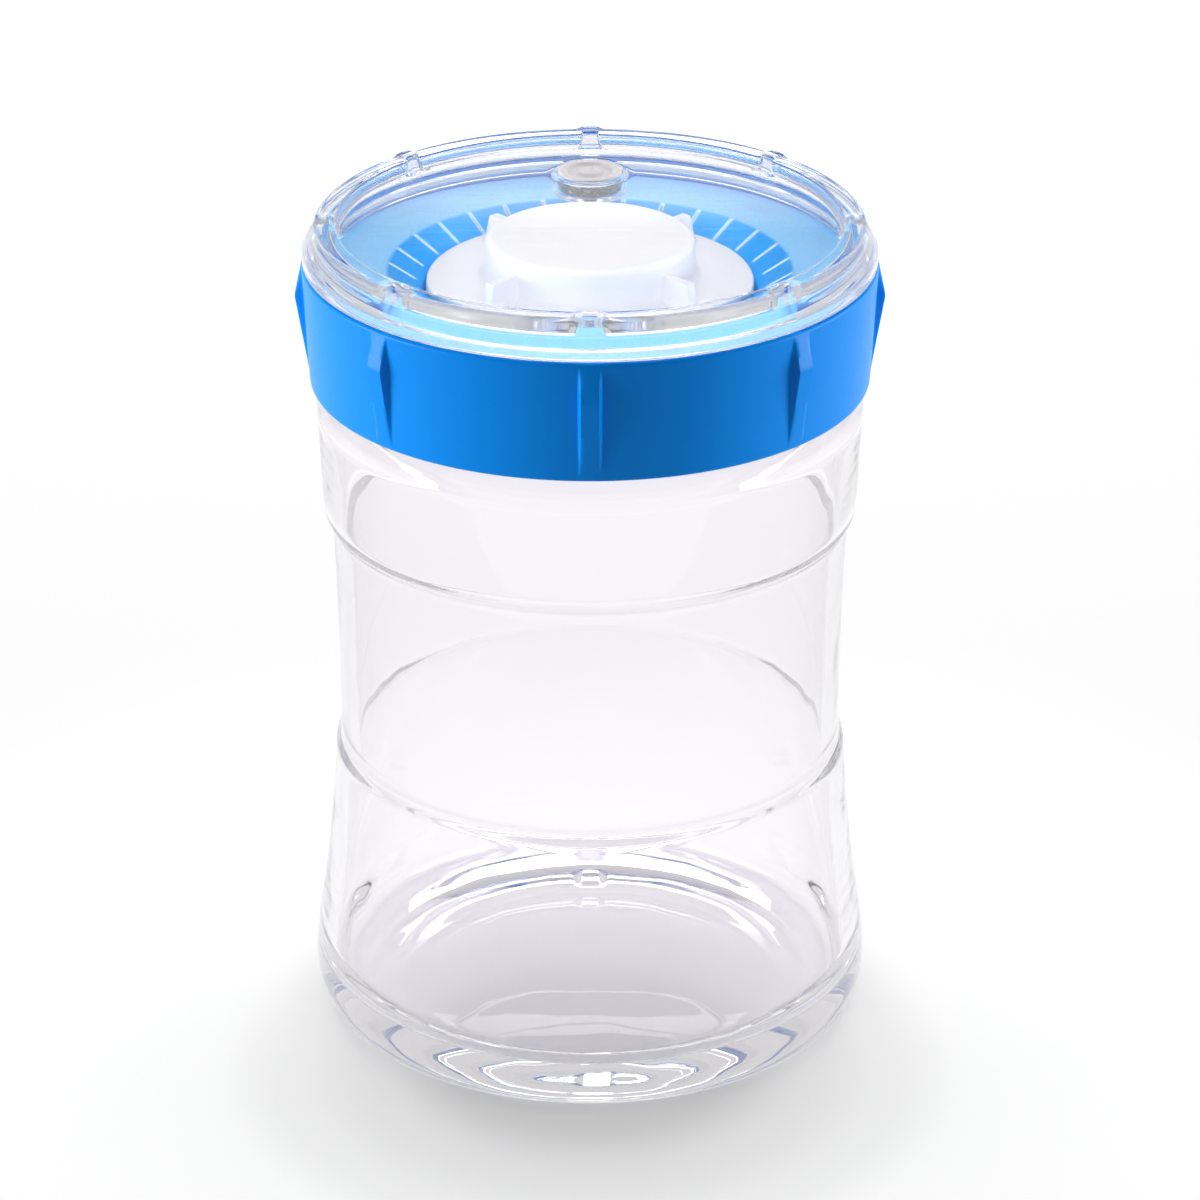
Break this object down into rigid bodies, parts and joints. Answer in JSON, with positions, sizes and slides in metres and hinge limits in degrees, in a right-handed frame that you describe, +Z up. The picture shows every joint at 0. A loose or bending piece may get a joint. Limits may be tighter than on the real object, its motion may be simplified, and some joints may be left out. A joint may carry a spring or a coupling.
{
  "type": "vegetable fermenting jar",
  "caption": "Waisted glass jar with a blue screw ring, slotted dish, white press bell and clear cover with a one-way valve, for fermenting vegetables under brine.",
  "frame": {"origin": "middle of the foot ring, on the surface that the jar stands on", "axes": "+Z up along the jar's axis, -Y towards the front, the valve at the back towards +Y"},
  "size_m": [0.1284, 0.1284, 0.1864],
  "materials": {
    "glass": "clear pressed soda-lime glass",
    "blue_plastic": "moulded polypropylene, satin",
    "clear_plastic": "clear moulded plastic, polished",
    "white_plastic": "moulded polypropylene, satin",
    "grey_silicone": "matt silicone",
    "pale_silicone": "translucent silicone"
  },
  "bodies": {
    "jar": {"glass_jar": "glass"},
    "jar_seal": {"jar_gasket": "pale_silicone"},
    "lid": {"screw_ring": "blue_plastic", "strainer": "blue_plastic"},
    "cover": {"clear_cover": "clear_plastic", "cover_seal": "pale_silicone"},
    "valve": {"valve_plug": "grey_silicone"},
    "press": {"press_bell": "white_plastic", "press_wiper": "pale_silicone", "press_plate": "white_plastic"}
  },
  "joints": [
    {"name": "lid_lift", "type": "slide", "parent": "jar", "child": "jar_seal", "axis": [0, 0, 1], "range_m": [0, 0.0481]},
    {"name": "lid_turn", "type": "hinge", "parent": "jar_seal", "child": "lid", "pos_m": [0, 0, 0.16], "axis": [0, 0, 1], "range_deg": [0, 720]},
    {"name": "cover_lift", "type": "slide", "parent": "lid", "child": "cover", "axis": [0, 0, 1], "range_m": [0, 0.03]},
    {"name": "valve_lift", "type": "slide", "parent": "cover", "child": "valve", "axis": [0, 0, 1], "range_m": [0, 0.0015], "stiffness_N_per_m": 20},
    {"name": "press_travel", "type": "slide", "parent": "lid", "child": "press", "axis": [0, 0, -1], "range_m": [0, 0.016]}
  ],
  "couplings": [
    {"joint": "lid_lift", "follows": "lid_turn", "m_per_rad": 0.0038197}
  ]
}
